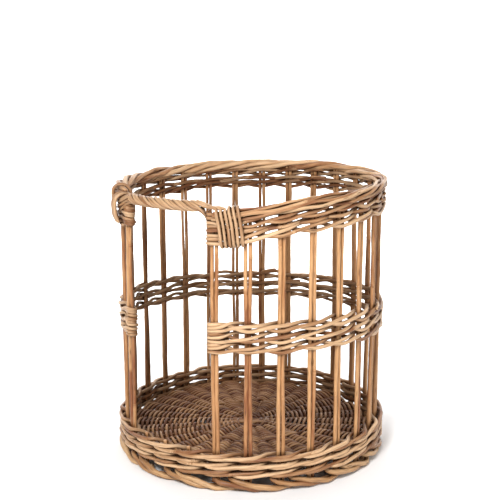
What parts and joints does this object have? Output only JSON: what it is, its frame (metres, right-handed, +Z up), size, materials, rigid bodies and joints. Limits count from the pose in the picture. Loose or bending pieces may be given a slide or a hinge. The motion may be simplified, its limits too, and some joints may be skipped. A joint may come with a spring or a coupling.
{
  "type": "round open-sided bread basket",
  "caption": "Round open-sided willow bread basket: upright stakes held by woven foot, middle and rim bands, with a side opening spanned by a twisted rope.",
  "frame": {"origin": "middle of the foot, on the surface that the basket stands on", "axes": "+Z up; -Y is the front; the opening between the two posts lies to the left of the front, between -Y and -X"},
  "size_m": [0.3682, 0.3718, 0.3748],
  "materials": {
    "stake_willow": "honey-brown buff willow, satin",
    "liner_willow": "lighter honey buff willow, satin",
    "base_willow": "darker buff willow, satin, woven close",
    "foot_willow": "thick buff willow, satin",
    "wale_willow": "pale honey buff willow, satin, woven",
    "border_willow": "honey buff willow, satin, rolled",
    "rope_willow": "thin honey buff willow, twisted"
  },
  "bodies": {
    "root": {"stake_01": "stake_willow", "stake_02": "stake_willow", "stake_03": "stake_willow", "stake_04": "stake_willow", "stake_05": "stake_willow", "stake_06": "stake_willow", "stake_07": "stake_willow", "stake_08": "stake_willow", "stake_09": "stake_willow", "stake_10": "stake_willow", "stake_11": "stake_willow", "stake_12": "stake_willow", "stake_13": "stake_willow", "stake_14": "stake_willow", "stake_15": "stake_willow", "stake_16": "stake_willow", "stake_17": "stake_willow", "stake_18": "stake_willow", "stake_19": "stake_willow", "stake_20": "stake_willow", "stake_21": "stake_willow", "stake_22": "stake_willow", "stake_23": "stake_willow", "stake_24": "stake_willow", "liner_01": "liner_willow", "liner_02": "liner_willow", "liner_03": "liner_willow", "liner_04": "liner_willow", "liner_05": "liner_willow", "liner_06": "liner_willow", "liner_07": "liner_willow", "liner_08": "liner_willow", "liner_09": "liner_willow", "liner_10": "liner_willow", "liner_11": "liner_willow", "liner_12": "liner_willow", "liner_13": "liner_willow", "liner_14": "liner_willow", "liner_15": "liner_willow", "liner_16": "liner_willow", "liner_17": "liner_willow", "liner_18": "liner_willow", "liner_19": "liner_willow", "liner_20": "liner_willow", "liner_21": "liner_willow", "liner_22": "liner_willow", "liner_23": "liner_willow", "liner_24": "liner_willow", "short_stake_1": "stake_willow", "short_stake_2": "stake_willow", "short_stake_3": "stake_willow", "base_sticks": "base_willow", "base_weave": "base_willow", "foot_border": "foot_willow", "bottom_wale": "wale_willow", "middle_wale": "wale_willow", "top_wale": "wale_willow", "top_border": "border_willow", "front_rope": "rope_willow"}
  },
  "joints": []
}
